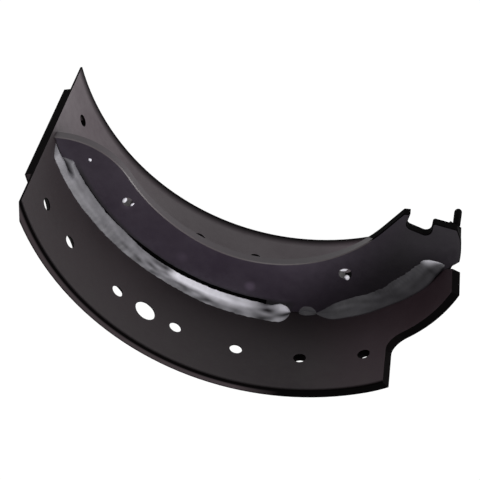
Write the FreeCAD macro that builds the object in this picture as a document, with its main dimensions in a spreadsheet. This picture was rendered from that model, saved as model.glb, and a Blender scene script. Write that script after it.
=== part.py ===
import FreeCAD, Part
import math
import os

import Sketcher
from FreeCAD import Placement, Rotation, Vector

# Brake shoe for a wide drum: a rolled table, one crescent web welded along its middle, and a small
# lug at the web's working end. The riveted lining is not on it. Millimetres and degrees.
#
# Every sketch is drawn about the drum axis. An angle is measured about that axis from the middle
# of the table's full-width stretch, growing towards the working end, where the shoe is pushed.
# The whole shoe then stands on one side edge, with the drum axis upright.

SIZES = {
    # Table: the rolled plate that carries the lining
    "inner_radius": 182.0,
    "table_thickness": 6.5,
    "table_width": 190.0,
    "plain_end": -53.3,
    "working_end": 50.4,
    "side_chamfer": 0.5,
    # Tongue: the narrowed stretch at the working end, bent inwards and split for the web
    "bend_start": 45.0,
    "bend_radius": 100.0,
    "bend_turn": 45.5,
    "tongue_root_half_width": 46.0,
    "tongue_tip_half_width": 43.0,
    "tongue_root_radius": 13.0,
    "split_half_width": 15.0,
    "split_root_half_width": 3.2,
    "split_depth": 10.5,
    # Corners thinned from outside at the plain end
    "thinned_half_width": 60.0,
    "thinned_length": 16.0,
    "thinned_edge": 1.5,
    # Rivet holes in two rows, one group for each lining block, opened wide towards the lining
    "rivet_hole": 9.5,
    "rivet_row": 57.9,
    "rivet_land": 0.8,
    "countersink_angle": 105.0,
    "drill_start": 0.5,
    "block_one_first": -44.7,
    "block_one_second": -33.8,
    "block_one_third": -17.2,
    "block_two_first": -1.0,
    "block_two_pitch": 15.1,
    "sight_hole": 17.0,
    # Web: depths are measured inwards from the table
    "web_thickness": 8.0,
    "web_chamfer": 0.7,
    "web_toe_angle": -52.0,
    "web_toe_radius": 60.0,
    "crescent_depth": 40.4,
    "crescent_start": -35.0,
    "crescent_end": -3.3,
    "heel_radius": 107.2,
    "horn_depth": 67.5,
    "horn_angle": 69.6,
    "horn_tip": 4.6,
    "slot_inner_depth": 58.0,
    "slot_inner_angle": 66.5,
    "slot_outer_depth": 39.8,
    "slot_outer_angle": 70.2,
    "ear_depth": 47.6,
    "ear_angle": 74.3,
    "nose_depth": 31.0,
    "nose_angle": 77.6,
    "pad_inner_depth": 24.4,
    "pad_inner_angle": 76.2,
    "pad_outer_depth": 9.0,
    "pad_outer_angle": 70.9,
    "pad_radius": 70.0,
    "web_root_turn": 37.5,
    "slot_fillet": 4.5,
    "tip_fillet": 1.8,
    # Round holes through the web for the hold-down and the return spring
    "toe_hole": 8.0,
    "toe_hole_depth": 27.0,
    "toe_hole_angle": -28.3,
    "heel_hole": 10.0,
    "heel_hole_depth": 36.0,
    "heel_hole_angle": 41.2,
    # Long weld bead in the corner between table and web
    "long_bead_start": -50.0,
    "long_bead_end": 26.0,
    "long_bead_on_table": 14.0,
    "long_bead_on_web": 7.5,
    "bead_bulge": 1.6,
    "long_bead_nose": 15.0,
    "fork_length": 30.0,
    "fork_mouth": 4.4,
    # Short weld bead, which follows the corner round the bend
    "short_bead_start": 33.5,
    "short_bead_turn": 35.0,
    "short_bead_on_table": 8.0,
    "short_bead_on_web": 12.0,
    # Lug behind the web's nose: a ledge with an upright post
    "ledge_depth": 34.4,
    "ledge_thickness": 4.5,
    "ledge_length": 15.0,
    "ledge_reach": 14.0,
    "ledge_angle": 73.6,
    "post_diameter": 6.4,
    "post_reach": 21.0,
    "post_round": 2.6,
}

doc = FreeCAD.newDocument("brake_shoe")
sheet = doc.addObject("Spreadsheet::Sheet", "sizes")
for row, (alias, number) in enumerate(SIZES.items(), start=1):
    sheet.set("A%d" % row, alias)
    sheet.set("B%d" % row, str(number))
    sheet.setAlias("B%d" % row, alias)
doc.recompute()

SUB_PARTS = []


def value(expression):
    """The number that an expression on the sheet comes to."""
    result = sheet.evalExpression(expression)
    return float(getattr(result, "Value", result))


def cell(alias):
    return "sizes." + alias


OUTER = "(sizes.inner_radius + sizes.table_thickness)"
BEND_MIDDLE = "(sizes.bend_start + sizes.bend_turn / 2)"
TO_HUB = "(sizes.inner_radius - sizes.bend_radius)"
# Where the tongue starts and ends, seen square on the middle of the bend
TONGUE_ROOT = "(%s * sin(sizes.working_end - %s))" % (OUTER, BEND_MIDDLE)
TONGUE_TIP = "((sizes.bend_radius - %s) * sin(sizes.bend_turn / 2))" % TO_HUB
HALF_WEB = "(sizes.web_thickness / 2)"


def at_depth(alias):
    """Distance from the drum axis of something at a named depth below the table."""
    return "(sizes.inner_radius - sizes.%s)" % alias


def seat(thing):
    """Move a sub-part from the drum axis to where the shoe stands on its side edge."""
    thing.setExpression("Placement.Base.y", "sizes.inner_radius + sizes.table_thickness / 2")
    thing.setExpression("Placement.Base.z", "sizes.table_width / 2")


def new_body(label):
    body = doc.addObject("PartDesign::Body", label)
    body.Label = label
    seat(body)
    SUB_PARTS.append(body)
    return body


def new_sketch(body, name, plane, turn=None, lift=None):
    """A sketch on one of the body's planes, turned about the drum axis and lifted off the plane."""
    sketch = body.newObject("Sketcher::SketchObject", name)
    origin = [item for item in body.Origin.OriginFeatures if item.Role == plane][0]
    sketch.AttachmentSupport = [(origin, "")]
    sketch.MapMode = "FlatFace"
    if turn is not None:
        sketch.AttachmentOffset = Placement(Vector(), Rotation(Vector(0, 1, 0), value(turn)))
        sketch.setExpression("AttachmentOffset.Rotation.Angle", turn)
    if lift is not None and turn is None:
        sketch.setExpression("AttachmentOffset.Base.z", lift)
    if lift is not None and turn is not None:
        sketch.setExpression("AttachmentOffset.Base.x", "(%s) * sin(%s)" % (lift, turn))
        sketch.setExpression("AttachmentOffset.Base.z", "(%s) * cos(%s)" % (lift, turn))
    return sketch


def bind(sketch, constraint, expression):
    index = sketch.addConstraint(constraint)
    sketch.setExpression("Constraints[%d]" % index, expression)


def spoke(sketch, radius, angle, hub=None):
    """A construction line to a corner, by radius and angle about the drum axis or the bend's hub."""
    reach, turn = value(radius), math.radians(value(angle))
    start = hub[0] if hub else Vector()
    tip = start + Vector(reach * math.sin(turn), -reach * math.cos(turn), 0)
    line = sketch.addGeometry(Part.LineSegment(start, tip), True)
    held = (hub[1], 2) if hub else (-1, 1)
    sketch.addConstraint(Sketcher.Constraint("Coincident", line, 1, *held))
    bind(sketch, Sketcher.Constraint("Distance", line, reach), radius)
    bind(sketch, Sketcher.Constraint("Angle", line, turn - math.pi / 2), "%s - 90" % angle)
    return tip, line


def spot(sketch, across, up):
    """A construction point at a distance across and up from the sketch's origin."""
    place = Vector(value(across), value(up), 0)
    point = sketch.addGeometry(Part.Point(place), True)
    # A distance that may change sign is held as a signed offset from the origin.
    bind(sketch, Sketcher.Constraint("DistanceX", -1, 1, point, 1, place.x), across)
    bind(sketch, Sketcher.Constraint("DistanceY", -1, 1, point, 1, place.y), up)
    return place, point


def bend_hub(sketch):
    """The centre about which the table's working end is bent inwards."""
    return spoke(sketch, TO_HUB, cell("bend_start"))


def line_between(sketch, start, end):
    """A straight edge between two corners made by spoke or spot."""
    edge = sketch.addGeometry(Part.LineSegment(start[0], end[0]), False)
    for position, (place, holder) in ((1, start), (2, end)):
        tip = 2 if isinstance(sketch.Geometry[holder], Part.LineSegment) else 1
        sketch.addConstraint(Sketcher.Constraint("Coincident", edge, position, holder, tip))
    return edge


def arc_between(sketch, start, end, radius, centre=None, turning=1):
    """An arc between two corners. turning is 1 where it bends left from start to end."""
    first, last = (start, end) if turning > 0 else (end, start)
    reach = value(radius)
    if centre is None:
        middle = (first[0] + last[0]) * 0.5
        chord = last[0] - first[0]
        rise = math.sqrt(max(reach ** 2 - (chord.Length / 2) ** 2, 0))
        centre = middle + Vector(-chord.y, chord.x, 0).normalize() * rise
    angles = [math.atan2(c[0].y - centre.y, c[0].x - centre.x) for c in (first, last)]
    circle = Part.Circle(centre, Vector(0, 0, 1), reach)
    edge = sketch.addGeometry(Part.ArcOfCircle(circle, angles[0], angles[1]), False)
    for position, (place, holder) in ((1, first), (2, last)):
        tip = 2 if isinstance(sketch.Geometry[holder], Part.LineSegment) else 1
        sketch.addConstraint(Sketcher.Constraint("Coincident", edge, position, holder, tip))
    bind(sketch, Sketcher.Constraint("Radius", edge, reach), radius)


def polygon(sketch, corners):
    for start, end in zip(corners, corners[1:] + corners[:1]):
        line_between(sketch, start, end)


def pad(body, sketch, name, length, both_ways=False, away=False):
    feature = body.newObject("PartDesign::Pad", name)
    feature.Profile = sketch
    feature.setExpression("Length", length)
    feature.Midplane = both_ways
    feature.Reversed = away
    doc.recompute()
    return feature


def cut(body, sketch, name, away=False):
    """Cut a sketch right through one way, and make sure that it took metal off."""
    before = body.Shape.Volume
    feature = body.newObject("PartDesign::Pocket", name)
    feature.Profile = sketch
    feature.Type = "ThroughAll"
    feature.Reversed = away
    doc.recompute()
    if not body.Shape.Volume < before:
        raise RuntimeError("%s takes nothing off" % name)
    return feature


def mirror(body, features, name):
    """Repeat features on the other side of the web's middle plane."""
    feature = body.newObject("PartDesign::Mirrored", name)
    feature.Originals = features
    plane = [item for item in body.Origin.OriginFeatures if item.Role == "XY_Plane"][0]
    feature.MirrorPlane = (plane, [""])
    body.Tip = feature
    doc.recompute()
    return feature


def round_uprights(body, name, radius, corners):
    """Round the edges that run along the drum axis through the given corners."""
    wanted = []
    for number, edge in enumerate(body.Shape.Edges, start=1):
        middle = body.Placement.inverse().multVec(edge.CenterOfMass)
        along = edge.Vertexes[0].Point - edge.Vertexes[-1].Point
        upright = along.Length > 0 and abs(along.z) > 0.99 * along.Length
        if upright and any(math.hypot(middle.x - c.x, middle.y - c.y) < 0.3 for c in corners):
            wanted.append("Edge%d" % number)
    if len(wanted) != len(corners):
        raise RuntimeError("%s finds %d of %d edges" % (name, len(wanted), len(corners)))
    base = body.Tip
    feature = body.newObject("PartDesign::Fillet", name)
    feature.Base = (base, wanted)
    feature.setExpression("Radius", radius)
    doc.recompute()
    return feature


def chamfer_flats(body, name, size):
    """Break the edges of the flat faces that lie across the drum axis."""
    heights = [face.CenterOfMass.z for face in body.Shape.Faces]
    flats = []
    for number, face in enumerate(body.Shape.Faces, start=1):
        flat = isinstance(face.Surface, Part.Plane) and abs(face.Surface.Axis.z) > 0.999
        if flat and (max(heights) - heights[number - 1] < 0.01
                     or heights[number - 1] - min(heights) < 0.01):
            flats.append("Face%d" % number)
    base = body.Tip
    feature = body.newObject("PartDesign::Chamfer", name)
    feature.Base = (base, flats)
    feature.setExpression("Size", size)
    doc.recompute()
    return feature


# Table

def table_band(body):
    """The rolled plate, from its plain end to the tip of the tongue."""
    sketch = new_sketch(body, "table_section", "XY_Plane")
    hub = bend_hub(sketch)
    turned = "(sizes.bend_start + sizes.bend_turn)"
    ends = []
    for reach, bend_reach in ((cell("inner_radius"), cell("bend_radius")),
                              (OUTER, "(sizes.bend_radius + sizes.table_thickness)")):
        plain = spoke(sketch, reach, cell("plain_end"))
        bend = spoke(sketch, reach, cell("bend_start"))
        tip = spoke(sketch, bend_reach, turned, hub)
        arc_between(sketch, plain, bend, reach, Vector())
        arc_between(sketch, bend, tip, bend_reach, hub[0])
        ends.append((plain, tip))
    for inside, outside in zip(*ends):
        line_between(sketch, inside, outside)
    return pad(body, sketch, "table_band", cell("table_width"), both_ways=True)


def tongue_sides(body):
    """Narrow the working end to its tongue, with a round root, on both sides."""
    sketch = new_sketch(body, "tongue_side", "XZ_Plane", turn=BEND_MIDDLE)
    beyond = "(sizes.table_width / 2 + sizes.table_thickness)"
    side = "(sizes.tongue_root_half_width - sizes.tongue_tip_half_width)"
    slope = "(%s / (%s - %s))" % (side, TONGUE_TIP, TONGUE_ROOT)
    past = "sizes.table_thickness * 2"
    far_down = "(sizes.tongue_tip_half_width - %s * %s)" % (slope, past)
    top_left = spot(sketch, TONGUE_ROOT, beyond)
    top_right = spot(sketch, "%s + %s" % (TONGUE_TIP, past), beyond)
    low_right = spot(sketch, "%s + %s" % (TONGUE_TIP, past), far_down)
    turn = math.atan(value(slope))
    bend = (math.pi / 2 - turn) / 2
    reach = value(cell("tongue_root_radius")) * math.tan(bend)
    corner = Vector(value(TONGUE_ROOT), value(cell("tongue_root_half_width")), 0)
    up_point = corner + Vector(0, reach, 0)
    side_point = corner + Vector(math.cos(turn), -math.sin(turn), 0) * reach
    end_line = sketch.addGeometry(Part.LineSegment(top_left[0], up_point), False)
    side_line = sketch.addGeometry(Part.LineSegment(side_point, low_right[0]), False)
    centre = up_point + Vector(value(cell("tongue_root_radius")), 0, 0)
    angles = [math.atan2(p.y - centre.y, p.x - centre.x) for p in (up_point, side_point)]
    circle = Part.Circle(centre, Vector(0, 0, 1), value(cell("tongue_root_radius")))
    start, end = math.pi, math.pi * 2 + angles[1]
    root = sketch.addGeometry(Part.ArcOfCircle(circle, start, end), False)
    sketch.addConstraint(Sketcher.Constraint("Coincident", end_line, 1, top_left[1], 1))
    sketch.addConstraint(Sketcher.Constraint("Vertical", end_line))
    sketch.addConstraint(Sketcher.Constraint("Coincident", side_line, 2, low_right[1], 1))
    sketch.addConstraint(Sketcher.Constraint("Tangent", end_line, 2, root, 1))
    sketch.addConstraint(Sketcher.Constraint("Tangent", root, 2, side_line, 1))
    bind(sketch, Sketcher.Constraint("Radius", root, value(cell("tongue_root_radius"))),
         cell("tongue_root_radius"))
    bind(sketch, Sketcher.Constraint("Angle", side_line, -turn), "-atan(%s)" % slope)
    line_between(sketch, low_right, top_right)
    line_between(sketch, top_right, top_left)
    side_cut = cut(body, sketch, "tongue_side_cut", away=True)
    return mirror(body, [side_cut], "tongue_other_side")


def tongue_split(body):
    """The notch that splits the tongue's tip round the web."""
    sketch = new_sketch(body, "tongue_split", "XZ_Plane", turn=BEND_MIDDLE)
    tip = TONGUE_TIP
    mouth = "(%s + sizes.table_thickness * 2)" % tip
    root = "(%s - sizes.split_depth)" % tip
    corners = [spot(sketch, root, "-sizes.split_root_half_width"),
               spot(sketch, tip, "-sizes.split_half_width"),
               spot(sketch, mouth, "-sizes.split_half_width"),
               spot(sketch, mouth, cell("split_half_width")),
               spot(sketch, tip, cell("split_half_width")),
               spot(sketch, root, cell("split_root_half_width"))]
    polygon(sketch, corners)
    return cut(body, sketch, "tongue_split_cut", away=True)


def thinned_corners(body):
    """Thin the two corners of the plain end from outside, down to a narrow edge."""
    sketch = new_sketch(body, "thinned_corner", "XY_Plane", lift=cell("thinned_half_width"))
    end = cell("plain_end")
    past_end = "(sizes.plain_end - 1)"
    back = "(sizes.plain_end + sizes.thinned_length / sizes.inner_radius * 180 / pi)"
    beyond = "(sizes.inner_radius + 2 * sizes.table_thickness)"
    edge = "(sizes.inner_radius + sizes.thinned_edge)"
    corners = [spoke(sketch, edge, end), spoke(sketch, edge, past_end),
               spoke(sketch, beyond, past_end), spoke(sketch, beyond, back),
               spoke(sketch, OUTER, back)]
    polygon(sketch, corners)
    corner_cut = cut(body, sketch, "thinned_corner_cut", away=True)
    return mirror(body, [corner_cut], "thinned_other_corner")


def drilled(body, name, angle, diameter, rows, sunk=True):
    """Holes on a line across the table, straight or opened out from the lining side.

    They are drawn a little outside the table, since a plane that only touches it cuts badly.
    """
    start = "(%s + sizes.drill_start)" % OUTER
    sketch = new_sketch(body, name + "_places", "XZ_Plane", turn=angle, lift=start)
    for row in rows:
        place = Vector(0, value(row), 0)
        circle = sketch.addGeometry(Part.Circle(place, Vector(0, 0, 1), value(diameter) / 2), False)
        sketch.addConstraint(Sketcher.Constraint("PointOnObject", circle, 3, -2))
        bind(sketch, Sketcher.Constraint("DistanceY", -1, 1, circle, 3, place.y), row)
        bind(sketch, Sketcher.Constraint("Diameter", circle, value(diameter)), diameter)
    doc.recompute()
    before = body.Shape.Volume
    hole = body.newObject("PartDesign::Hole", name)
    hole.Profile = sketch
    doc.recompute()
    hole.ThreadType = 0
    hole.HoleCutType = 2 if sunk else 0
    hole.DepthType = 1
    hole.setExpression("Diameter", diameter)
    if sunk:
        deep = "(sizes.table_thickness + sizes.drill_start - sizes.rivet_land)"
        spread = "2 * %s * tan(sizes.countersink_angle / 2)" % deep
        hole.setExpression("HoleCutCountersinkAngle", cell("countersink_angle"))
        hole.setExpression("HoleCutDiameter", "%s + %s" % (diameter, spread))
    doc.recompute()
    if not body.Shape.Volume < before:
        raise RuntimeError("%s takes nothing off" % name)
    return hole


def repeated(body, hole, name, times):
    """Repeat a drilled hole round the drum axis, one pitch of the second block apart."""
    pattern = body.newObject("PartDesign::PolarPattern", name)
    pattern.Originals = [hole]
    axis = [item for item in body.Origin.OriginFeatures if item.Role == "Z_Axis"][0]
    pattern.Axis = (axis, [""])
    pattern.Occurrences = times
    pattern.setExpression("Angle", "sizes.block_two_pitch * %d" % (times - 1))
    body.Tip = pattern
    doc.recompute()


def rivet_holes(body):
    """Two rows of holes. One row is opened out, save for its last two; the other is straight."""
    near, far, size = cell("rivet_row"), "-sizes.rivet_row", cell("rivet_hole")
    for name in ("block_one_first", "block_one_second", "block_one_third"):
        drilled(body, name + "_sunk", cell(name), size, [near])
        drilled(body, name + "_straight", cell(name), size, [far], sunk=False)
    second = cell("block_two_first")
    hole = drilled(body, "block_two_sunk", second, size, [near])
    repeated(body, hole, "block_two_sunk_pair", 2)
    hole = drilled(body, "block_two_straight", second, size, [far], sunk=False)
    repeated(body, hole, "block_two_straight_row", 4)
    third = "(sizes.block_two_first + 2 * sizes.block_two_pitch)"
    hole = drilled(body, "block_two_last", third, size, [near], sunk=False)
    repeated(body, hole, "block_two_last_pair", 2)


def table():
    body = new_body("table")
    table_band(body)
    chamfer_flats(body, "table_chamfer", cell("side_chamfer"))
    tongue_sides(body)
    tongue_split(body)
    thinned_corners(body)
    rivet_holes(body)
    between = "(sizes.block_one_third + sizes.block_two_first) / 2"
    drilled(body, "sight_hole_cut", between, cell("sight_hole"), [cell("rivet_row")])


# Web

def web_outline(sketch):
    """The web's outline: crescent, horn, slot, ear, nose, contact pad and root."""
    toe = spoke(sketch, cell("inner_radius"), cell("web_toe_angle"))
    crescent = spoke(sketch, at_depth("crescent_depth"), cell("crescent_start"))
    names = ("horn", "slot_inner", "slot_outer", "ear", "nose", "pad_inner", "pad_outer")
    at = {name: spoke(sketch, at_depth(name + "_depth"), cell(name + "_angle")) for name in names}
    hub = bend_hub(sketch)
    bend = spoke(sketch, cell("inner_radius"), cell("bend_start"))
    root = spoke(sketch, cell("bend_radius"), "(sizes.bend_start + sizes.web_root_turn)", hub)
    arc_between(sketch, toe, crescent, cell("web_toe_radius"), turning=-1)
    crescent_to_horn(sketch, crescent, at["horn"])
    tip = horn_tip(sketch, at["horn"], at["slot_inner"])
    line_between(sketch, tip, at["slot_inner"])
    for start, end in (("slot_inner", "slot_outer"), ("slot_outer", "ear"), ("ear", "nose"),
                       ("nose", "pad_inner")):
        line_between(sketch, at[start], at[end])
    arc_between(sketch, at["pad_inner"], at["pad_outer"], cell("pad_radius"), turning=-1)
    line_between(sketch, at["pad_outer"], root)
    arc_between(sketch, toe, bend, cell("inner_radius"), Vector())
    arc_between(sketch, bend, root, cell("bend_radius"), hub[0])
    return tip[0], {name: corner[0] for name, corner in at.items()}


def crescent_to_horn(sketch, crescent, horn):
    """Arc about the drum axis, a tighter arc tangent to it, and a straight edge to the horn."""
    reach = value(at_depth("crescent_depth"))
    tight = value(cell("heel_radius"))
    turn = math.radians(value(cell("crescent_end")))
    ray = Vector(math.sin(turn), -math.cos(turn), 0)
    change, centre = ray * reach, ray * (reach - tight)
    gap = horn[0] - centre
    lean = math.atan2(gap.y, gap.x) - math.acos(tight / gap.Length)
    leave = centre + Vector(math.cos(lean), math.sin(lean), 0) * tight
    start = math.atan2(crescent[0].y, crescent[0].x)
    middle = math.atan2(ray.y, ray.x)
    outer_circle = Part.Circle(Vector(), Vector(0, 0, 1), reach)
    inner_circle = Part.Circle(centre, Vector(0, 0, 1), tight)
    wide = sketch.addGeometry(Part.ArcOfCircle(outer_circle, start, middle), False)
    close = sketch.addGeometry(Part.ArcOfCircle(inner_circle, middle, lean), False)
    straight = sketch.addGeometry(Part.LineSegment(leave, horn[0]), False)
    sketch.addConstraint(Sketcher.Constraint("Coincident", wide, 3, -1, 1))
    sketch.addConstraint(Sketcher.Constraint("Coincident", wide, 1, crescent[1], 2))
    end = sketch.addGeometry(Part.LineSegment(Vector(), change), True)
    sketch.addConstraint(Sketcher.Constraint("Coincident", end, 1, -1, 1))
    sketch.addConstraint(Sketcher.Constraint("Coincident", wide, 2, end, 2))
    bind(sketch, Sketcher.Constraint("Angle", end, turn - math.pi / 2),
         "sizes.crescent_end - 90")
    sketch.addConstraint(Sketcher.Constraint("Tangent", wide, 2, close, 1))
    bind(sketch, Sketcher.Constraint("Radius", close, tight), cell("heel_radius"))
    sketch.addConstraint(Sketcher.Constraint("Tangent", close, 2, straight, 1))
    sketch.addConstraint(Sketcher.Constraint("Coincident", straight, 2, horn[1], 2))


def horn_tip(sketch, horn, slot):
    """The blunt end of the horn, square to its slot side."""
    width = value(cell("horn_tip"))
    away = (horn[0] - slot[0]).normalize()
    across = Vector(away.y, -away.x, 0)
    place = horn[0] + across * width
    point = sketch.addGeometry(Part.Point(place), True)
    edge = line_between(sketch, horn, (place, point))
    bind(sketch, Sketcher.Constraint("Distance", edge, width), cell("horn_tip"))
    angle = math.atan2(across.y, across.x)
    bind(sketch, Sketcher.Constraint("Angle", edge, angle), "sizes.horn_angle - 45")
    return place, point


def web_holes(body):
    """Two round holes, for the hold-down at the toe and the return spring at the heel."""
    sketch = new_sketch(body, "web_hole_places", "XY_Plane")
    for name in ("toe_hole", "heel_hole"):
        place, holder = spoke(sketch, at_depth(name + "_depth"), cell(name + "_angle"))
        circle = sketch.addGeometry(
            Part.Circle(place, Vector(0, 0, 1), value(cell(name)) / 2), False)
        sketch.addConstraint(Sketcher.Constraint("Coincident", circle, 3, holder, 2))
        bind(sketch, Sketcher.Constraint("Diameter", circle, value(cell(name))), cell(name))
    feature = cut(body, sketch, "web_hole_cut")
    feature.Midplane = True
    doc.recompute()


def web():
    body = new_body("web")
    sketch = new_sketch(body, "web_outline", "XY_Plane")
    tip, at = web_outline(sketch)
    pad(body, sketch, "web_plate", cell("web_thickness"), both_ways=True)
    round_uprights(body, "slot_roots", cell("slot_fillet"), [at["slot_inner"], at["slot_outer"]])
    round_uprights(body, "blunt_tips", cell("tip_fillet"),
                   [at["horn"], at["ear"], at["nose"], at["pad_inner"]])
    chamfer_flats(body, "web_arrises", cell("web_chamfer"))
    web_holes(body)


# Weld beads

def bead_section(sketch, on_table, on_web):
    """A bead's section: two legs along table and web, and a bulging face."""
    root = spot(sketch, "-sizes.inner_radius", HALF_WEB)
    toe = spot(sketch, "-sizes.inner_radius", "%s + sizes.%s" % (HALF_WEB, on_table))
    head = spot(sketch, "-(sizes.inner_radius - sizes.%s)" % on_web, HALF_WEB)
    line_between(sketch, root, toe)
    line_between(sketch, head, root)
    round_off = "((sizes.%s ^ 2 + sizes.%s ^ 2) / (8 * sizes.bead_bulge) + sizes.bead_bulge / 2)"
    arc_between(sketch, toe, head, round_off % (on_table, on_web), turning=-1)


def bead(label, start, end, on_table, on_web):
    """One bead, swept about the drum axis in the corner between table and web."""
    body = new_body(label)
    sketch = new_sketch(body, label + "_section", "YZ_Plane", turn=cell(start))
    bead_section(sketch, on_table, on_web)
    feature = body.newObject("PartDesign::Revolution", label + "_sweep")
    feature.Profile = sketch
    feature.ReferenceAxis = (sketch, ["V_Axis"])
    feature.setExpression("Angle", "sizes.%s - sizes.%s" % (end, start))
    doc.recompute()
    return body


def round_bead_nose(body):
    """Draw the long bead's end in to a round nose, seen on the table."""
    sketch = new_sketch(body, "long_bead_nose", "XZ_Plane", turn=cell("long_bead_end"))
    start = "-sizes.long_bead_nose"
    toe = "(%s + sizes.long_bead_on_table)" % HALF_WEB
    high = "(%s + 2 * sizes.long_bead_on_table)" % HALF_WEB
    past = "sizes.long_bead_nose"
    near = spot(sketch, start, toe)
    low = spot(sketch, "sizes.long_bead_nose * 0.02", HALF_WEB)
    beyond = spot(sketch, past, HALF_WEB)
    corners = [beyond, spot(sketch, past, high), spot(sketch, start, high), near]
    for first, last in zip(corners, corners[1:]):
        line_between(sketch, first, last)
    line_between(sketch, low, beyond)
    arc_between(sketch, near, low, "(sizes.long_bead_nose * 1.05)", turning=-1)
    cut(body, sketch, "long_bead_nose_cut", away=True)


def fork_bead_start(body):
    """Open the long bead's start into two prongs, one on the table and one on the web."""
    before = body.Shape.Volume
    fork = body.newObject("PartDesign::SubtractiveCone", "long_bead_fork")
    plane = [item for item in body.Origin.OriginFeatures if item.Role == "YZ_Plane"][0]
    fork.AttachmentSupport = [(plane, "")]
    fork.MapMode = "FlatFace"
    turn = cell("long_bead_start")
    reach = "(sizes.inner_radius - sizes.long_bead_on_web / 2)"
    fork.AttachmentOffset = Placement(Vector(), Rotation(Vector(0, 1, 0), value(turn)))
    fork.setExpression("AttachmentOffset.Rotation.Angle", turn)
    fork.setExpression("AttachmentOffset.Base.x", "-%s * cos(%s)" % (reach, turn))
    fork.setExpression("AttachmentOffset.Base.z", "%s * sin(%s)" % (reach, turn))
    fork.setExpression("AttachmentOffset.Base.y", "%s + sizes.long_bead_on_table / 3" % HALF_WEB)
    fork.setExpression("Radius1", cell("fork_mouth"))
    fork.Radius2 = 0
    fork.setExpression("Height", cell("fork_length"))
    doc.recompute()
    if not body.Shape.Volume < before:
        raise RuntimeError("the fork takes nothing off")


def bead_round_bend(body):
    """Carry the short bead on round the bend, about the bend's own centre."""
    sketch = new_sketch(body, "short_bead_bend_section", "YZ_Plane", turn=cell("bend_start"))
    low, high = [spot(sketch, "-" + TO_HUB, height) for height in ("0", "sizes.table_width")]
    axle = sketch.addGeometry(Part.LineSegment(low[0], high[0]), True)
    for position, holder in ((1, low[1]), (2, high[1])):
        sketch.addConstraint(Sketcher.Constraint("Coincident", axle, position, holder, 1))
    bead_section(sketch, "short_bead_on_table", "short_bead_on_web")
    feature = body.newObject("PartDesign::Revolution", "short_bead_bend_sweep")
    feature.Profile = sketch
    feature.ReferenceAxis = (sketch, ["Axis0"])
    feature.setExpression("Angle", cell("short_bead_turn"))
    doc.recompute()


def other_side(source, label):
    """The same bead on the other face of the web."""
    twin = doc.addObject("Part::Mirroring", label)
    twin.Label = label
    twin.Source = source
    twin.Normal = Vector(0, 0, 1)
    twin.setExpression("Base.z", "sizes.table_width / 2")
    SUB_PARTS.append(twin)


def welds():
    long_bead = bead("long_bead", "long_bead_start", "long_bead_end",
                     "long_bead_on_table", "long_bead_on_web")
    round_bead_nose(long_bead)
    fork_bead_start(long_bead)
    short_bead = bead("short_bead", "short_bead_start", "bend_start",
                      "short_bead_on_table", "short_bead_on_web")
    bead_round_bend(short_bead)
    other_side(long_bead, "long_bead_back")
    other_side(short_bead, "short_bead_back")


# Lug

def lug():
    """A ledge and a round-ended post behind the nose, on the web's back face."""
    body = new_body("spring_lug")
    ledge = new_sketch(body, "ledge_outline", "XY_Plane", lift="-" + HALF_WEB)
    near = at_depth("ledge_depth")
    far = "(%s + sizes.ledge_thickness)" % near
    turn = "(sizes.ledge_length / sizes.inner_radius * 30)"
    low, high = "(sizes.ledge_angle - %s)" % turn, "(sizes.ledge_angle + %s)" % turn
    polygon(ledge, [spoke(ledge, near, low), spoke(ledge, near, high),
                    spoke(ledge, far, high), spoke(ledge, far, low)])
    pad(body, ledge, "ledge", cell("ledge_reach"), away=True)
    post = new_sketch(body, "post_outline", "XY_Plane", lift="-" + HALF_WEB)
    place, holder = spoke(post, "(%s + sizes.ledge_thickness * 0.8)" % near, high)
    circle = post.addGeometry(
        Part.Circle(place, Vector(0, 0, 1), value(cell("post_diameter")) / 2), False)
    post.addConstraint(Sketcher.Constraint("Coincident", circle, 3, holder, 2))
    bind(post, Sketcher.Constraint("Diameter", circle, value(cell("post_diameter"))),
         cell("post_diameter"))
    pad(body, post, "post", cell("post_reach"), away=True)
    lowest = min(edge.CenterOfMass.z for edge in body.Shape.Edges)
    ends = ["Edge%d" % number for number, edge in enumerate(body.Shape.Edges, start=1)
            if edge.CenterOfMass.z - lowest < 0.01]
    base = body.Tip
    feature = body.newObject("PartDesign::Fillet", "post_end")
    feature.Base = (base, ends)
    feature.setExpression("Radius", cell("post_round"))
    doc.recompute()


table()
web()
welds()
lug()
doc.recompute()

for item in doc.Objects:
    if any(state in ("Invalid", "Error") for state in item.State):
        raise RuntimeError("%s failed: %s" % (item.Label, item.State))
for part in SUB_PARTS:
    if part.Shape.isNull() or not part.Shape.isValid():
        raise RuntimeError("%s has no valid shape" % part.Label)

os.makedirs("parts", exist_ok=True)
for part in SUB_PARTS:
    part.Shape.exportStep("parts/%s.step" % part.Label)
    box = part.Shape.BoundBox
    print("%-16s %8.0f mm3  x %.1f..%.1f  y %.1f..%.1f  z %.1f..%.1f  solids %d" % (
        part.Label, part.Shape.Volume, box.XMin, box.XMax, box.YMin, box.YMax,
        box.ZMin, box.ZMax, len(part.Shape.Solids)))
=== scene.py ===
# %% [markdown]
# # A drum brake shoe without its lining
#
# The shoe is a wide rolled plate, a crescent web that stands along its middle, and the weld beads
# which join them. All of it looks dipped in black paint after welding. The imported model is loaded
# first and is never moved: it fixes where everything is, in metres. This script paints plate and
# web, and shapes the welds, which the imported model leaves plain.

# %% Load the shoe
import math

import bmesh
import bpy
from mathutils import Matrix, Vector, noise


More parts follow.
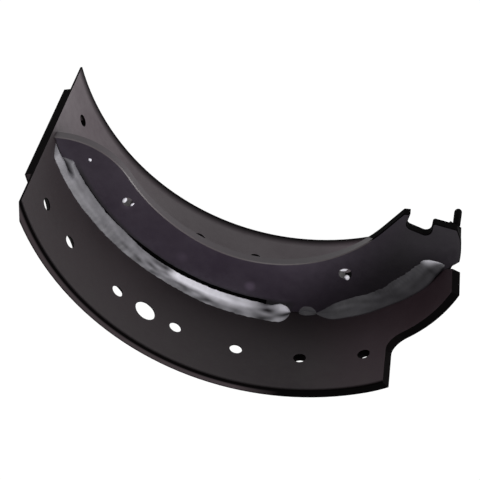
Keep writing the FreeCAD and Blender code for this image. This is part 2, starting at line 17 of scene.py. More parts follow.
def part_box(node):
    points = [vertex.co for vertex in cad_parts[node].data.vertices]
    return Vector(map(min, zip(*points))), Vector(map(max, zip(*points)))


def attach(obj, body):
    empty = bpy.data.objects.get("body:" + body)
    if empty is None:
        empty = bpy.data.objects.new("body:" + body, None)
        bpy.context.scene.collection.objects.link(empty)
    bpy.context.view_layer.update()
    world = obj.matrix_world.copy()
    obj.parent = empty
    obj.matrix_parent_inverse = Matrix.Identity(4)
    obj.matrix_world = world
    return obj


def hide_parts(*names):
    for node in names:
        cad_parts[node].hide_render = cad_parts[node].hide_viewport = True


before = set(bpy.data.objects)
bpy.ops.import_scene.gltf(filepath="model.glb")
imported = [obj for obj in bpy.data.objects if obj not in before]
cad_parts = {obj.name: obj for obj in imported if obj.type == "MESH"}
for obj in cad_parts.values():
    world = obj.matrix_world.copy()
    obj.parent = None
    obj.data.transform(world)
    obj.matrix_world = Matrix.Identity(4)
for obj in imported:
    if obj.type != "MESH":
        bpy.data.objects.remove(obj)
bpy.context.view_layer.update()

print("nodes:", ", ".join(sorted(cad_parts)))

# %% [markdown]
# ## Where the shoe's own lines run
#
# The plate is bent round the drum's axis, so most things are easiest to place by an angle round
# that axis and a distance from it. Past 45 degrees the plate and the web's root turn inwards round
# a nearer centre, so a path along the corner goes on counting its degrees round that one. Points
# could be typed as x and y instead, but then a weld could not follow the corner by itself.

# %% Sizes in metres, angles in degrees
MM = 0.001
web_low, web_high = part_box("web")
WEB_TOP = web_high[2]
WEB_MIDDLE = (web_low[2] + web_high[2]) / 2
PLATE_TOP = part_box("table")[1][2]
INNER_RADIUS = 182 * MM
BEND_START, BEND_RADIUS = 45.0, 100 * MM
AXIS_Y = web_low[1] + INNER_RADIUS      # the web's back is a circle that touches the plate


def about_axis(radius, degrees, height):
    """A point by its distance from the drum's axis, its angle round it, and its height."""
    turn = math.radians(degrees)
    return Vector((radius * math.sin(turn), AXIS_Y - radius * math.cos(turn), height))


def on_path(along, inward, height):
    """A point beside the corner of plate and web, some way in from the plate."""
    if along <= BEND_START:
        return about_axis(INNER_RADIUS - inward, along, height)
    turn = math.radians(along)
    reach = BEND_RADIUS - inward
    centre = about_axis(INNER_RADIUS - BEND_RADIUS, BEND_START, height)
    return centre + Vector((reach * math.sin(turn), -reach * math.cos(turn), 0))


print("drum axis at y = %.4f m, web's top at z = %.4f m" % (AXIS_Y, WEB_TOP))

# %% [markdown]
# ## A small helper for shader maths
#
# Materials here are procedural. Writing `1 - mask * 0.5` is easier to read than adding Math nodes
# one by one, so a socket is wrapped in a class whose operators add those nodes.

# %% Shader sockets as numbers


class Wire:
    """One output socket of a material, with arithmetic."""

    def __init__(self, tree, socket):
        self.tree = tree
        self.socket = socket

    def _maths(self, operation, first, second):
        return node(self.tree, "ShaderNodeMath", {"operation": operation}, {0: first, 1: second})

    def __add__(self, other):
        return self._maths("ADD", self, other)

    __radd__ = __add__

    def __mul__(self, other):
        return self._maths("MULTIPLY", self, other)

    __rmul__ = __mul__

    def __sub__(self, other):
        return self._maths("SUBTRACT", self, other)

    def __rsub__(self, other):
        return self._maths("SUBTRACT", other, self)


def node(tree, kind, settings=None, inputs=None, output=0):
    """Add a node: its settings first, then values or wires for its sockets."""
    made = tree.nodes.new(kind)
    for key, setting in (settings or {}).items():
        setattr(made, key, setting)
    for key, given in (inputs or {}).items():
        if isinstance(given, Wire):
            tree.links.new(given.socket, made.inputs[key])
        else:
            made.inputs[key].default_value = given
    return Wire(tree, made.outputs[output])


print("a wire adds, subtracts and multiplies, with wires and with plain numbers")

# %% [markdown]
# Every finish needs the same few things: a material, a place on the shoe to read patterns from,
# soft noise, a way to cut a band out of a value, and a blend of two colours. A Math node would
# turn a colour grey, so colours go through a Mix node.

# %% Parts of every finish
OBJECT_COORDINATES = 3      # outputs of Texture Coordinate and of Separate XYZ, by number
X, Z = 0, 2


def new_material(name):
    """An empty material with its Principled shader, ready for wires."""
    material = bpy.data.materials.new(name)
    material.use_nodes = True
    tree = material.node_tree
    return material, tree, tree.nodes["Principled BSDF"]


def plug(tree, wire, socket):
    tree.links.new(wire.socket, socket)


def place_on_shoe(tree):
    return node(tree, "ShaderNodeTexCoord", output=OBJECT_COORDINATES)


def one_axis(tree, place, axis):
    return node(tree, "ShaderNodeSeparateXYZ", {}, {0: place}, output=axis)


def axis_distance(tree, place):
    """How far a point is from the drum's axis."""
    level = node(tree, "ShaderNodeVectorMath", {"operation": "MULTIPLY_ADD"}, {
        0: place, 1: (1, 1, 0), 2: (0, -AXIS_Y, 0)})
    return node(tree, "ShaderNodeVectorMath", {"operation": "LENGTH"}, {0: level}, output=1)


def cloud(tree, place, scale, detail=4.0, roughness=0.5):
    """Soft noise in the shoe's own coordinates, from 0 to 1. Scale is in lumps per metre."""
    return node(tree, "ShaderNodeTexNoise", {}, {
        "Vector": place, "Scale": scale, "Detail": detail, "Roughness": roughness})


def stretch(tree, wire, low, high):
    """What lies between low and high, spread to run from 0 to 1."""
    return node(tree, "ShaderNodeMapRange", {"clamp": True}, {
        "Value": wire, "From Min": low, "From Max": high})


def mix_colours(tree, factor, first, second):
    """A blend of two colours, by a factor that may vary over the surface."""
    made = tree.nodes.new("ShaderNodeMix")
    made.data_type = "RGBA"
    for slot, given in (("Factor_Float", factor), ("A_Color", first), ("B_Color", second)):
        socket = [s for s in made.inputs if s.identifier == slot][0]
        if isinstance(given, Wire):
            tree.links.new(given.socket, socket)
        else:
            socket.default_value = given
    return Wire(tree, [s for s in made.outputs if s.identifier == "Result_Color"][0])


print("helpers for finishes are ready")

# %% [markdown]
# ## Black dip paint
#
# The paint is thin and satin. It is nearly black with a warm purple-brown cast, a little dusty in
# broad clouds, and its gloss changes from place to place. The half of the plate below the web is
# paler and browner, which is painted light. Close to both rims the paint is darker and matt, and it
# is darker in the corner above the long bead: both are painted shade.
#
# One flat colour would make plate and web look cut from the same card. Each could have its own
# node tree, but one function that takes the tints gives both the same grain and dust.

# %% Dip paint
TOE_X, MIDDLE_X = -0.12, 0.0        # the paint's strength changes between these two
FADE_SPAN = 0.06                    # and again over this far, towards the working end
CREASE_TOE, CREASE_END = (-0.124, -0.112), (0.078, 0.072)   # from none to all of the painted shade in the corner
WAVER = 3 * MM                      # how far a painted border strays


def black_paint(name, tint, dust, gloss, painted_light_low_tint=None, fade=(1.0, 1.0, 1.0), fade_from=0.09,
                rims=False, shaded_crease=False, smudges=()):
    """Dip paint. Its colour below the web is given apart, as painted light; fade is its strength at
    the toe, in the middle and at the working end, as painted light and shade.

    rims darkens it beside the plate's two rims, and the flag for the corner darkens it above the long
    bead: both are painted shade. A smudge is a point, how far it spreads, and how much lighter it
    makes the paint.
    """
    material, tree, shader = new_material(name)
    place = place_on_shoe(tree)
    across = one_axis(tree, place, X)
    height = one_axis(tree, place, Z)
    broad = cloud(tree, place, 14.0, 3.0)
    fine = cloud(tree, place, 160.0, 5.0, 0.6)
    scuffs = stretch(tree, cloud(tree, place, 420.0, 2.0), 0.66, 0.80)
    dusty = stretch(tree, broad * 0.75 + fine * 0.25, 0.35, 0.70)
    colour = mix_colours(tree, dusty, (*tint, 1), (*dust, 1))
    above = stretch(tree, height, WEB_TOP - 13 * MM, WEB_TOP)
    # Below the web the paint is paler and browner: painted light.
    if painted_light_low_tint:
        colour = mix_colours(tree, above, (*painted_light_low_tint, 1), colour)
    # Lighter and darker along the shoe by fade: painted light and shade.
    strength = stretch(tree, across, TOE_X, MIDDLE_X) * (fade[1] - fade[0]) + fade[0]
    working_end = stretch(tree, across, fade_from, fade_from + FADE_SPAN)
    strength = strength + working_end * (fade[2] - fade[1])
    clear_of_rim_shade = 1.0
    # Beside both rims the paint is darker, duller and metallic: painted shade.
    if rims:
        from_below = stretch(tree, height, 2 * MM, 11 * MM)
        clear_of_rim_shade = from_below * stretch(tree, height, PLATE_TOP - 0.5 * MM, PLATE_TOP - 3.2 * MM)
        strength = strength * (clear_of_rim_shade * 0.92 + 0.08)
    if shaded_crease:
        # Darker and duller in the corner above the long bead: painted shade.
        near_bead = axis_distance(tree, place) + broad * WAVER
        crease_shade = stretch(tree, near_bead, INNER_RADIUS - 10 * MM, INNER_RADIUS - 6.5 * MM)
        crease_shade = crease_shade * stretch(tree, across, *CREASE_TOE) * stretch(tree, across, *CREASE_END)
        strength = strength * (1 - crease_shade * 0.9)
        gloss = crease_shade * 0.3 + gloss
    for spot, spread, lighter in smudges:
        away = node(tree, "ShaderNodeVectorMath", {"operation": "DISTANCE"},
                    {0: place, 1: spot}, output=1)
        ragged = away + (fine - 0.5) * WAVER
        strength = strength + stretch(tree, ragged, spread, spread * 0.3) * lighter
    colour = node(tree, "ShaderNodeVectorMath", {"operation": "SCALE"}, {0: colour, "Scale": strength})
    plug(tree, colour, shader.inputs["Base Color"])
    rough = dusty * 0.16 + gloss - 0.08 + fine * 0.06
    if rims:
        rough = (rough + above * 0.16) * clear_of_rim_shade + (1 - clear_of_rim_shade) * 0.9
        plug(tree, 1 - clear_of_rim_shade, shader.inputs["Metallic"])
    plug(tree, rough, shader.inputs["Roughness"])
    peel = node(tree, "ShaderNodeBump", {}, {
        "Strength": 0.25, "Distance": 0.0004, "Height": fine + scuffs * 0.3})
    plug(tree, peel, shader.inputs["Normal"])
    return material


print("dip paint can be darkened at rims and in the corner, and smudged")

# %% [markdown]
# The plate is paler at the working end, and paler and browner under the web. The web is darker at
# both ends, and three light smudges lie on it. A picture could be painted for each, but numbers in
# the call are easier to match to the photograph.

# %% Dip paint on the plate and on the web
# The plate's paler working end and the web's darker ends come from fade and are painted light and
# shade; the plate's paler, browner half under the web is painted light.
SMUDGES = (
    (about_axis(163.6 * MM, 14.0, WEB_TOP), 5.5 * MM, 3.0),
    (about_axis(162.1 * MM, -6.0, WEB_TOP), 6.0 * MM, 0.8),
    (about_axis(157.0 * MM, -27.6, WEB_TOP), 6.0 * MM, 1.0),
)
plate_paint = black_paint("plate_paint", (0.0090, 0.0038, 0.0056), (0.0155, 0.0088, 0.0118), 0.46,
                          painted_light_low_tint=(0.047, 0.029, 0.038), fade=(1.0, 0.82, 2.6), rims=True)
web_paint = black_paint("web_paint", (0.0130, 0.0092, 0.0146), (0.0230, 0.0180, 0.0254), 0.44,
                        fade=(1.8, 2.4, 0.6), fade_from=0.06, shaded_crease=True, smudges=SMUDGES)
print("paints:", plate_paint.name, web_paint.name)

# %% [markdown]
# The cut rims of plate and web don't look like their faces. Most are dark and dull, and that is
# painted shade. The plate's upper side edge has a painted highlight along its middle and painted
# shade at its corners, the rim along the crescent is pale with a painted highlight, and the broken
# edge round the web's face is pale with a painted highlight too. They could share the faces' paint,
# but it has none of these in it.
# Only the side edge changes along its length, so the others are one colour and one gloss each.

# %% Paint for the rims


def plain_paint(name, colour, roughness, specular):
    material, tree, shader = new_material(name)
    shader.inputs["Base Color"].default_value = (*colour, 1)
    shader.inputs["Roughness"].default_value = roughness
    shader.inputs["Specular IOR Level"].default_value = specular
    return material


def lit_side_edge(name):
    """The side edge: a painted highlight along its middle, and painted shade along its corners and at
    the working end.
    """
    material, tree, shader = new_material(name)
    place = place_on_shoe(tree)
    depth = axis_distance(tree, place) - INNER_RADIUS
    # A pale band along the middle of the side edge is a painted highlight; its corners and the working
    # end stay dark, painted shade.
    side_highlight = stretch(tree, depth, 1.4 * MM, 2.8 * MM) * stretch(tree, depth, 6.2 * MM, 4.8 * MM)
    side_highlight = side_highlight * stretch(tree, one_axis(tree, place, X), 80 * MM, 50 * MM)
    colour = mix_colours(tree, side_highlight, (0.0008, 0.0006, 0.0007, 1), (0.058, 0.046, 0.050, 1))
    plug(tree, colour, shader.inputs["Base Color"])
    shader.inputs["Roughness"].default_value = 0.7
    shader.inputs["Specular IOR Level"].default_value = 0.03
    return material


# The near-black rim paints are painted shade.
rim_paint = plain_paint("rim_paint", (0.0010, 0.0006, 0.0007), 0.8, 0.03)
edge_paint = lit_side_edge("edge_paint")
horn_rim_paint = plain_paint("horn_rim_paint", (0.0008, 0.0005, 0.0007), 0.8, 0.03)
# The paler crescent rim and broken edges are painted highlights.
crescent_paint = plain_paint("crescent_paint", (0.036, 0.027, 0.033), 0.40, 0.4)
edge_highlight_paint = plain_paint("edge_highlight_paint", (0.075, 0.062, 0.066), 0.38, 0.5)
print("rim paints:", rim_paint.name, edge_paint.name, crescent_paint.name, edge_highlight_paint.name)

# %% [markdown]
# Rims could be separate pieces, but plate and web are one mesh each. So the mesh gets several
# material slots, and each face is given one by the way it looks and by where it is.

# %% Faces and rims
HORN_X, LUG_X = 98 * MM, 135 * MM   # the horn starts at the first, the lug stands past the second
UPWARD, FLAT, BROKEN = 0.9, 0.95, 0.5   # a normal's least Z on the side edge, a flat face, a bevel
ROLLED = 0.9                        # a normal's least share along the radius of the bend
LOOKS_BACK = -0.5                   # a normal's greatest X on an edge that looks towards the toe


def is_rolled_face(face):
    """Whether a face of the plate looks to or from the centre that the plate is bent round."""
    middle = face.center
    if math.degrees(math.atan2(middle.x, AXIS_Y - middle.y)) > BEND_START:
        centre = about_axis(INNER_RADIUS - BEND_RADIUS, BEND_START, middle.z)
    else:
        centre = Vector((0, AXIS_Y, middle.z))
    return abs((middle - centre).normalized().dot(face.normal)) > ROLLED


def plate_slot(face):
    """0 for the rolled faces, 1 for rims and holes, 2 for the side edge that looks up."""
    if face.normal.z > UPWARD:
        return 2
    return 0 if is_rolled_face(face) else 1


def web_slot(face):
    """0 for the flat faces, 1 for broken edges with a painted highlight, 2 along the crescent with a
    painted highlight, 3 round horn and nose.
    """
    if abs(face.normal.z) > FLAT:
        return 0
    broken_edge = abs(face.normal.z) > BROKEN
    beside_lug = face.center.x > LUG_X and face.normal.x < LOOKS_BACK
    if face.center.x > HORN_X and not (broken_edge and beside_lug):
        return 3
    return 1 if broken_edge else 2


def dress(name, paints, slot_of):
    """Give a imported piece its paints, and each of its faces one of them."""
    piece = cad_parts[name]
    piece.data.materials.clear()
    for paint in paints:
        piece.data.materials.append(paint)
    for face in piece.data.polygons:
        face.material_index = slot_of(face)
    print(name, "has", len(piece.data.polygons), "faces and", len(paints), "paints")


dress("table", [plate_paint, rim_paint, edge_paint], plate_slot)
dress("web", [web_paint, edge_highlight_paint, crescent_paint, horn_rim_paint], web_slot)

# %% [markdown]
# ## Weld beads
#
# A bead is a row of overlapping pools which froze one after another, so its face has ripples and
# lumps, and its ends taper. It could be a curve with a round bevel, but a curve's section stays the
# same shape, and this one doesn't. Here the shape is worked out from a few small functions: a
# smooth step and a hump for what changes along the bead, and noise for what is uneven.

# %% Steps, humps and uneven metal


def smooth_step(start, end, at):
    """0 before start, 1 after end, and a smooth rise between them."""
    share = min(max((at - start) / (end - start), 0), 1)
    return share * share * (3 - 2 * share)


def hump(middle, width, at):
    """1 at the middle, and less and less away from it."""
    return math.exp(-((at - middle) / width) ** 2)


def rounded_end(end, length, along):
    """1 along the bead, and over its last length down to 0 as the side of a circle falls."""
    past = max((along - (end - length)) / length, 0)
    return math.sqrt(max(1 - past ** 2, 0))


def lumps(along, across, seed, size):
    """Uneven metal: slow swells along the bead and small lumps over it."""
    slow = noise.noise(Vector((along * 0.16, across * 0.8, seed)))
    quick = noise.noise(Vector((along * 0.75, across * 3.0, seed + 7.0)))
    return 1 + size * (0.6 * slow + 0.5 * quick)


def ripple(along, across, pitch):
    """The crescent-shaped edge of each pool."""
    phase = along / pitch + 0.35 * (across - 0.5) ** 2 * 4
    return 1 + 0.022 * (1 - 2 * abs(phase % 1 - 0.5)) ** 2


def mottle(along, across, seed):
    """Blotches drawn out along the bead, from about -1 to 1."""
    return noise.noise(Vector((along * 0.30, across * 4.0, seed))) * 1.7


print("a step half way up: %.2f, a hump at its foot: %.2f" % (smooth_step(0, 1, 0.5), hump(0, 1, 2)))

# %% [markdown]
# The body starts as a closed ring of points, spun round the drum's axis with `bmesh.ops.spin`.
# Every point is then moved to its place beside the corner between plate and web, in or out by the
# functions above. One corner of the ring stays just inside the metal, so the bead is a closed body
# that sits on both faces. Each point also keeps one value for how much metal shows through the paint
# and for its painted highlight and shade, which the finish reads.

# %% Spin a bead's ring and shape it
SINK = 0.25 * MM
RING_POINTS, STEPS_PER_DEGREE = 17, 4
THINNEST = 0.001        # a bead never shrinks to nothing, so its ends have no faces without area


def finished(bm, name):
    """Close a bmesh into a smooth-shaded object at the origin."""
    mesh = bpy.data.meshes.new(name)
    bm.to_mesh(mesh)
    bm.free()
    mesh.polygons.foreach_set("use_smooth", [True] * len(mesh.polygons))
    made = bpy.data.objects.new(name, mesh)
    bpy.context.scene.collection.objects.link(made)
    print("%s: %d points, %d faces" % (name, len(mesh.vertices), len(mesh.polygons)))
    return made


def bead_body(name, start, end, legs, swell, uncovered_and_highlit_of):
    """A bead from start to end along the path beside the corner.

    legs(along) gives its lift off the plate, its reach on the plate and its reach on the web, in
    millimetres. swell(along, across) scales it, and the third function says how much metal shows and
    how bright it is, which is painted highlight and shade.
    across runs from 0 at the plate to 1 at the web.
    """
    bm = bmesh.new()
    across_layer = bm.verts.layers.float.new("across")
    uncovered_and_highlit_layer = bm.verts.layers.float.new("uncovered_and_highlit")
    ring = [bm.verts.new(about_axis(INNER_RADIUS, start, n * MM)) for n in range(RING_POINTS + 1)]
    loop = [bm.edges.new(pair) for pair in zip(ring, ring[1:] + ring[:1])]
    for number, vertex in enumerate(ring):
        vertex[across_layer] = number / (RING_POINTS - 1) if number < RING_POINTS else -1
    bmesh.ops.spin(bm, geom=loop, cent=(0, AXIS_Y, 0), axis=(0, 0, 1),
                   angle=math.radians(end - start), steps=int((end - start) * STEPS_PER_DEGREE),
                   use_duplicate=False)
    for vertex in bm.verts:
        across = vertex[across_layer]
        along = math.degrees(math.atan2(vertex.co.x, AXIS_Y - vertex.co.y))
        lift, on_plate, on_web = legs(along)
        if across < 0:      # the ring's corner inside the metal
            vertex.co = on_path(along, lift * MM - SINK, WEB_TOP - SINK)
            continue
        turn = across * math.pi / 2
        mix = (1 + 0.10 * math.sin(math.pi * across)) / (math.cos(turn) + math.sin(turn))
        size = swell(along, across)
        outward = on_plate * math.cos(turn) * mix * size
        inward = lift + (on_web - lift) * math.sin(turn) * mix * size
        vertex.co = on_path(along, inward * MM - SINK, WEB_TOP + outward * MM - SINK)
        # How much metal shows, with painted highlight and shade, for the finish.
        vertex[uncovered_and_highlit_layer] = max(uncovered_and_highlit_of(along, across), 0)
    ends = [edge for edge in bm.edges if len(edge.link_faces) == 1]
    bmesh.ops.holes_fill(bm, edges=ends, sides=0)
    bmesh.ops.recalc_face_normals(bm, faces=bm.faces)
    return finished(bm, name)


print("a ring has", RING_POINTS + 1, "points, and a bead", STEPS_PER_DEGREE, "rings for each degree")

# %% [markdown]
# The long bead starts as a fork, where two short runs of weld haven't flowed together: one prong
# lies on the plate and one on the web. It is dull there, with painted shade in the valley between
# the prongs, brightest along its upper side past the middle, which is a painted highlight, and ends
# in a thick round blob with a dark hollow before it, whose dark is painted shade. The two prongs
# could be two pieces, but they flow into one, so the fork is a valley pressed into the start of one
# body.

# %% Long bead
LONG_START, LONG_END, LONG_ROUNDING = -50.6, 25.2, 3.4


def long_legs(along):
    on_plate = 11.8 + 0.9 * (1 - smooth_step(-39, -30, along)) + 2.5 * smooth_step(-8, 10, along)
    on_web = 7.7 - 1.7 * smooth_step(-24, -10, along) + 1.8 * smooth_step(20.5, 23, along)
    return 0.0, on_plate, on_web


def fork_valley(along, across):
    """1 in the hollow between the two prongs, which narrows and closes past -41 degrees."""
    middle = 0.70 - 0.14 * smooth_step(-47, -42, along)
    return hump(middle, 0.13, across) * (1 - smooth_step(-43.5, -40.8, along))


def long_swell(along, across):
    prong_start = LONG_START + 3.0 * smooth_step(0.35, 0.55, across) + smooth_step(0.6, 0.8, across)
    opening = math.sqrt(smooth_step(prong_start, prong_start + 2.2, along))
    closing = rounded_end(LONG_END, LONG_ROUNDING, along)
    valley = fork_valley(along, across)
    neck = 0.16 * hump(19.8, 1.3, along) * smooth_step(0.3, 0.7, across)
    body = lumps(along, across, 3.0, 0.10) * ripple(along, across, 1.5) - neck
    return body * opening * closing * (1 - 0.85 * valley) + THINNEST


def long_uncovered_and_highlit(along, across):
    # Brightest along the upper side past the middle, a painted highlight; dark in the hollow before
    # the end blob, painted shade.
    upper = smooth_step(0.35, 0.75, across)
    level = 0.15 + 0.07 * hump(-48, 3.0, along) - 0.06 * (1 - upper) * hump(-22, 9.0, along)
    level += 0.10 * upper * hump(-14, 2.5, along)
    level += (0.03 + 0.95 * upper) * smooth_step(-8, -3.5, along)
    level -= 0.25 * upper * smooth_step(6, 12, along)
    level -= 0.82 * upper * hump(18.9, 2.7, along)
    level += 0.25 * hump(0.42, 0.18, across) * hump(9, 5, along)
    level -= 0.10 * hump(0.18, 0.15, across) * hump(5, 5, along)
    level -= 0.14 * hump(0.50, 0.22, across) * smooth_step(19, 21, along)
    level += 0.22 * hump(0.10, 0.13, across) * smooth_step(20.5, 22.5, along)
    level += (0.03 + 0.12 * smooth_step(-24, -6, along)) * mottle(along, across, 4.0)
    # Dark in the fork's valley: painted shade.
    return level * (1 - 0.95 * fork_valley(along, across))


long_bead = bead_body("long_weld", LONG_START, LONG_END, long_legs, long_swell, long_uncovered_and_highlit)

# %% [markdown]
# The short bead follows the corner round the bend and widens on the web. It is duller than the
# long one, lifts off the plate towards its far end, and ends in a lump that carries a painted
# highlight. A straight bead could be bent afterwards, but its ripples would bunch up in the bend.
# The same body with other legs, swell and brightness keeps them even.

# %% Short bead
SHORT_START, SHORT_END, SHORT_ROUNDING = 31.0, 86.5, 6.0


def short_legs(along):
    on_web = 6.0 + 8.5 * smooth_step(31, 43, along) + 5.5 * smooth_step(43, 66, along)
    on_plate = 2.2 + 6.6 * (1 - smooth_step(33, 56, along))
    lift = 2.6 * smooth_step(70, 84, along)
    return lift, on_plate, on_web


def short_swell(along, across):
    opening = math.sqrt(smooth_step(SHORT_START, SHORT_START + 6.0, along))
    closing = rounded_end(SHORT_END, SHORT_ROUNDING, along)
    body = lumps(along, across, 11.0, 0.08) * ripple(along, across, 2.0)
    body -= 0.05 * hump(79.5, 1.2, along)
    return body * opening * closing + THINNEST


def short_uncovered_and_highlit(along, across):
    # A bright lump at the end is a painted highlight, with painted shade just before it.
    level = 0.048 + 0.030 * smooth_step(55, 72, along) * smooth_step(0.2, 0.7, across)
    level += 0.60 * hump(84.0, 3.0, along) * hump(0.75, 0.3, across)
    level -= 0.03 * hump(80.5, 1.4, along)
    return level + 0.020 * mottle(along * 0.6, across, 9.0)


short_bead = bead_body("short_weld", SHORT_START, SHORT_END, short_legs, short_swell, short_uncovered_and_highlit)

# %% [markdown]
# The corner above the long bead is dark, and that is painted shade. The web's paint has a dark
# stripe there, but a stripe alone still catches the light as the rest does. So a very low black body
# is added, a sheet of painted shade that hardly shines, made in the same way, mostly under the bead.

# %% Strip of painted shade
SHADE_STRIP_START, SHADE_STRIP_END = -41.0, 19.0


def shade_strip_legs(along):
    return 0.0, 1.2, 9.6 + 1.2 * smooth_step(-24, -14, along)


def shade_strip_swell(along, across):
    return lumps(along, across, 21.0, 0.06)


def never_uncovered_nor_highlit(along, across):
    return 0.0


painted_shade_strip = bead_body("painted_shade_strip", SHADE_STRIP_START, SHADE_STRIP_END, shade_strip_legs, shade_strip_swell, never_uncovered_nor_highlit)
# A near-black, dull sheet: painted shade.
painted_shade_strip.data.materials.append(plain_paint("painted_shade_black", (0.001, 0.001, 0.001), 0.9, 0.02))
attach(painted_shade_strip, "root")

# %% [markdown]
# A faint flat patch lies in the gap between the two beads. It looks like a weld that was begun and
# broken off. It could be a spot in the paint, but it is raised a little and catches the light, so
# it is a very short bead whose face sags towards the corner.

# %% Patch between the beads
PATCH_START, PATCH_END = 27.2, 31.6
PATCH_MIDDLE, PATCH_HALF = 29.4, 2.3    # a little over half its length, so its ends stay blunt


def patch_legs(along):
    return 0.0, 3.2, 8.3


def patch_swell(along, across):
    sag = 1 - 0.45 * math.sin(math.pi * across)
    rounded = math.sqrt(max(1 - ((along - PATCH_MIDDLE) / PATCH_HALF) ** 2, 0))
    return sag * rounded * lumps(along, across, 5.0, 0.2) + THINNEST


def patch_uncovered_and_highlit(along, across):
    return 0.03 + 0.045 * smooth_step(0.3, 0.8, across) + 0.01 * mottle(along, across, 2.0)


patch = bead_body("weld_patch", PATCH_START, PATCH_END, patch_legs, patch_swell, patch_uncovered_and_highlit)

# %% [markdown]
# The web's hidden side isn't in the photograph, but a web like this is usually welded on both
# sides. Those beads could be shaped anew, but nothing shows how they would differ. So they are the
# same two runs, mirrored through the web's middle plane. A mirror turns a mesh inside out, so its
# faces are turned back.

# %% The back of the web


def mirrored(source, name):
    bm = bmesh.new()
    bm.from_mesh(source.data)
    for vertex in bm.verts:
        vertex.co.z = 2 * WEB_MIDDLE - vertex.co.z
    bmesh.ops.reverse_faces(bm, faces=bm.faces)
    return finished(bm, name)


long_back = mirrored(long_bead, "long_weld_back")
short_back = mirrored(short_bead, "short_weld_back")

# %% [markdown]
# ## Weld metal under thin paint
#
# The paint has not taken well on the beads. Each point of a bead carries one value for how much
# metal shows through and for its painted highlight and shade, and fine streaks break that up, from
# dark to bluish white. A picture of a weld could be wrapped round the bead, but an attribute on its
# own points needs no picture.

# %% Weld finish
FACTOR = 2      # the Attribute node's output for a plain number


def weld_metal(name, uncovered_and_highlit, covered, streakiness):
    """Metal through paint, with painted highlight and shade, by the bead's own value and fine streaks.
    """
    material, tree, shader = new_material(name)
    streaks = cloud(tree, place_on_shoe(tree), 130.0, 4.0, 0.6)
    # One value for metal showing through and for painted highlight and shade.
    level = node(tree, "ShaderNodeAttribute", {"attribute_name": "uncovered_and_highlit"}, output=FACTOR)
    shown = stretch(tree, level * (1 - streakiness * 0.5 + streaks * streakiness), 0.0, 1.0)
    colour = mix_colours(tree, shown, (*covered, 1), (*uncovered_and_highlit, 1))
    plug(tree, colour, shader.inputs["Base Color"])
    plug(tree, 0.55 - shown * 0.2 + streaks * 0.15, shader.inputs["Roughness"])
    grain = node(tree, "ShaderNodeBump", {}, {
        "Strength": 0.2, "Distance": 0.0005, "Height": streaks})
    plug(tree, grain, shader.inputs["Normal"])
    return material


weld = weld_metal("weld_metal", (0.94, 0.92, 1.0), (0.012, 0.010, 0.013), 0.25)
for bead, stands_for in ((long_bead, "long_bead"), (short_bead, "short_bead"),
                         (long_back, "long_bead_back"), (short_back, "short_bead_back"),
                         (patch, None)):
    bead.data.materials.append(weld)
    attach(bead, "root")
    if stands_for:
        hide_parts(stands_for)
print("weld finish:", weld.name)

# %% [markdown]
# ## Lug behind the nose
#
# A small lug stands behind the nose, on the web's far face. The photograph shows only its post, a
# round-ended pin that leans a little: its ledge stays behind the web's rim, so it is a low box. The
# post could be a cylinder with a bevelled end. A sphere whose upper half is drawn away from its
# lower half gives the same pin with its round ends in one step.

# %% Lug
LEDGE_MIDDLE, LEDGE_TURN = Vector((143.8, 143.2, 88.8)) * MM, 74.7
LEDGE_LENGTH, LEDGE_WIDTH, LEDGE_HEIGHT = 12.5 * MM, 4.4 * MM, 5.0 * MM
POST_X, POST_Y, POST_RADIUS = 148.7 * MM, 150.7 * MM, 2.9 * MM
POST_LOW, POST_HIGH, POST_LEAN = 72.2 * MM, 89.0 * MM, 0.06

bm = bmesh.new()
turned = Matrix.Translation(LEDGE_MIDDLE) @ Matrix.Rotation(math.radians(LEDGE_TURN), 4, "Z")
ledge_size = Matrix.Diagonal((LEDGE_LENGTH, LEDGE_WIDTH, LEDGE_HEIGHT, 1))
bmesh.ops.create_cube(bm, size=1.0, matrix=turned @ ledge_size)
post = bmesh.ops.create_uvsphere(bm, u_segments=32, v_segments=16, radius=POST_RADIUS)
for vertex in post["verts"]:
    upper_half = vertex.co.z > 1e-6     # its middle ring goes with the lower half
    vertex.co.z += POST_HIGH if upper_half else POST_LOW
    lean = (vertex.co.z - POST_LOW) * POST_LEAN
    vertex.co += Vector((POST_X - lean, POST_Y, 0))
lug = finished(bm, "lug_post")
# The post wears the near-black rim paint: painted shade.
lug.data.materials.append(horn_rim_paint)
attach(lug, "root")
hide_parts("spring_lug")

# %% [markdown]
# ## Spatter and marks on the web
#
# Drops of weld metal have stuck to the web, and burrs stand round its holes. Each is a squashed
# sphere that sits half in the metal, placed by its distance from the drum's axis and its angle.
# They could be bumps in the web's paint, but a shading bump has no height and casts no shadow.

# %% Spatter


def drop(name, radius, angle, long_way, short_way, tall, turned):
    """A flat drop on the web's face. Its long way points along the drum, unless turned."""
    bm = bmesh.new()
    bmesh.ops.create_icosphere(bm, subdivisions=3, radius=1.0)
    uncovered_and_highlit_layer = bm.verts.layers.float.new("uncovered_and_highlit")
    spin = Matrix.Rotation(math.radians(angle + turned), 3, "Z")
    centre = about_axis(radius * MM, angle, WEB_TOP)
    for vertex in bm.verts:
        place = vertex.co.copy()
        # Each drop's upper half is lighter than its lower half: a painted highlight.
        vertex[uncovered_and_highlit_layer] = 0.55 + 0.5 * place.z
        bump = 1 + 0.12 * noise.noise(place * 1.6 + Vector((radius, angle, 0)))
        flat = Vector((place.x * long_way, place.y * short_way, place.z * tall)) * MM * bump
        vertex.co = centre + spin @ flat
    bmesh.ops.recalc_face_normals(bm, faces=bm.faces)
    return finished(bm, name)


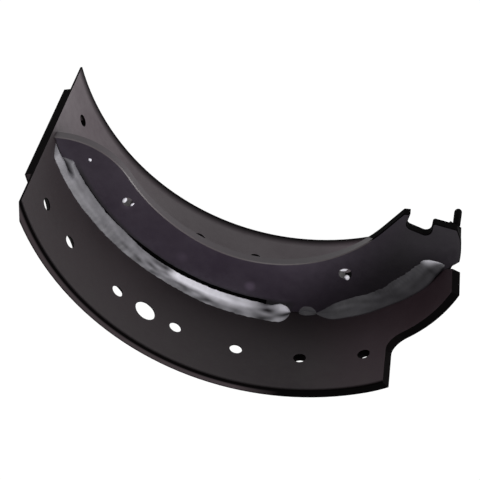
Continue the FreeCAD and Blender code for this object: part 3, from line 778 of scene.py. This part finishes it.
# name, distance and angle, long, short and tall half in millimetres, turn in degrees
DROPS = (
    ("toe_drop", 162.1, -44.0, 1.4, 1.2, 0.6, 0),
    ("toe_hole_drop", 156.0, -29.2, 1.5, 2.6, 0.8, 20),
    ("toe_hole_burr", 153.4, -27.0, 0.8, 2.0, 0.6, 10),
    ("heel_hole_drop", 149.8, 41.4, 2.0, 2.3, 0.9, 0),
    ("heel_hole_burr", 142.6, 41.0, 3.0, 1.0, 0.5, 0),
)
spatter = [drop(*row) for row in DROPS]
for piece in spatter:
    piece.data.materials.append(weld)
    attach(piece, "root")
print("drops:", len(spatter))

# %% [markdown]
# ## Floor, light and camera
#
# The floor is white. It could be lit until it is white, but that much light would bleach the
# shoe. So it glows for rays from the camera and for reflections, which puts the white floor into
# the gloss of the plate's lower half, and for other rays it is plain grey and keeps a soft shadow.

# %% Floor
FLOOR_SPAN = 8.0
CAMERA_RAY, GLOSSY_RAY = 0, 3       # outputs of Light Path, by number
GLOWING = 0.93                      # the rest of the floor's look is lit, and holds the shadow

bm = bmesh.new()
bmesh.ops.create_grid(bm, x_segments=1, y_segments=1, size=FLOOR_SPAN / 2)
floor = finished(bm, "floor")
floor_paint, tree, shader = new_material("floor_white")
shader.inputs["Base Color"].default_value = (0.5, 0.5, 0.5, 1)
shader.inputs["Roughness"].default_value = 0.9
glow = node(tree, "ShaderNodeEmission", {}, {"Color": (1, 1, 1, 1), "Strength": 1.08})
seen = node(tree, "ShaderNodeLightPath", output=CAMERA_RAY)
reflected = node(tree, "ShaderNodeLightPath", output=GLOSSY_RAY)
surface = node(tree, "ShaderNodeMixShader", {}, {
    0: (seen + reflected) * GLOWING, 1: Wire(tree, shader.outputs[0]), 2: glow})
plug(tree, surface, tree.nodes["Material Output"].inputs["Surface"])
floor.data.materials.append(floor_paint)

# %% [markdown]
# The shoe is lit from the working end's side, where the photograph's light comes from: faces that
# look that way are pale, and the toe's end is black. A weaker lamp on the other side and an even
# sky keep the shadows open.

# %% Lights
world = bpy.data.worlds.new("studio")
bpy.context.scene.world = world
world.use_nodes = True
backdrop = world.node_tree.nodes["Background"]
backdrop.inputs["Color"].default_value = (1, 1, 1, 1)
backdrop.inputs["Strength"].default_value = 0.40


def soft_light(name, place, target, size, power):
    """A square lamp at place, turned towards target."""
    lamp = bpy.data.lights.new(name, "AREA")
    lamp.size = size
    lamp.energy = power
    made = bpy.data.objects.new(name, lamp)
    made.location = place
    made.rotation_euler = (Vector(target) - Vector(place)).to_track_quat("-Z", "Y").to_euler()
    bpy.context.scene.collection.objects.link(made)
    print(name, "lamp:", power, "W")


shoe_middle = (0, 0.07, 0.095)
soft_light("key", (1.3, 0.55, 0.9), shoe_middle, size=0.8, power=22)
soft_light("fill", (-0.7, 1.1, 1.4), shoe_middle, size=1.0, power=7)

# %% [markdown]
# The camera looks down on the shoe from the hollow side. It could be aimed by eye, but then little
# would lie where the photograph has it. Its place and turn were worked out from the ends, corners
# and holes of the shoe in the photograph.

# %% Camera
EYE = Vector((-0.15826, 0.70200, 1.00570))
RIGHT = Vector((0.89205, 0.43129, -0.13503))
UP = Vector((-0.42509, 0.69931, -0.57469))
BACK = RIGHT.cross(UP).normalized()
view = bpy.data.cameras.new("camera")
view.lens = 112.5
view.sensor_width = 36
camera = bpy.data.objects.new("camera", view)
turn = Matrix((RIGHT, UP, BACK)).transposed().to_4x4()
camera.matrix_world = Matrix.Translation(EYE) @ turn
bpy.context.scene.collection.objects.link(camera)
bpy.context.scene.camera = camera
bpy.context.scene.view_settings.view_transform = "Standard"
print("camera back axis:", tuple(round(v, 3) for v in BACK))
